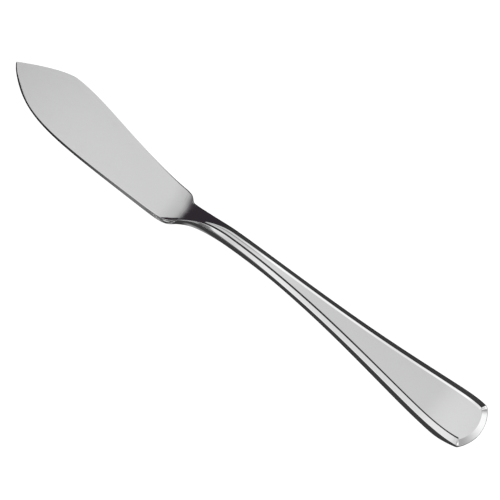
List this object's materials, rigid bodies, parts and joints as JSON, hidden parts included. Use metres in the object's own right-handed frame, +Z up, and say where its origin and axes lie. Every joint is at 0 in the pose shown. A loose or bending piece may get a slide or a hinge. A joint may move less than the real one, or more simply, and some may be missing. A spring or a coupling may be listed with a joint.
{
  "type": "fish knife",
  "caption": "Polished steel fish knife with a broad flat blade, a slim arched neck and a flared handle whose bevelled border frames a sunk panel.",
  "frame": {"origin": "on the table, in the middle of the knife's box", "axes": "+X along the knife from the blade tip to the handle end, +Y to the spine side, +Z up from the table"},
  "size_m": [0.205, 0.0244, 0.006],
  "materials": {
    "blade_steel": "fine satin on the faces, polished edges",
    "handle_steel": "mirror polish",
    "braze_metal": "as flowed, hidden inside the neck"
  },
  "bodies": {
    "root": {"blade": "blade_steel", "handle": "handle_steel", "braze": "braze_metal"}
  },
  "joints": []
}
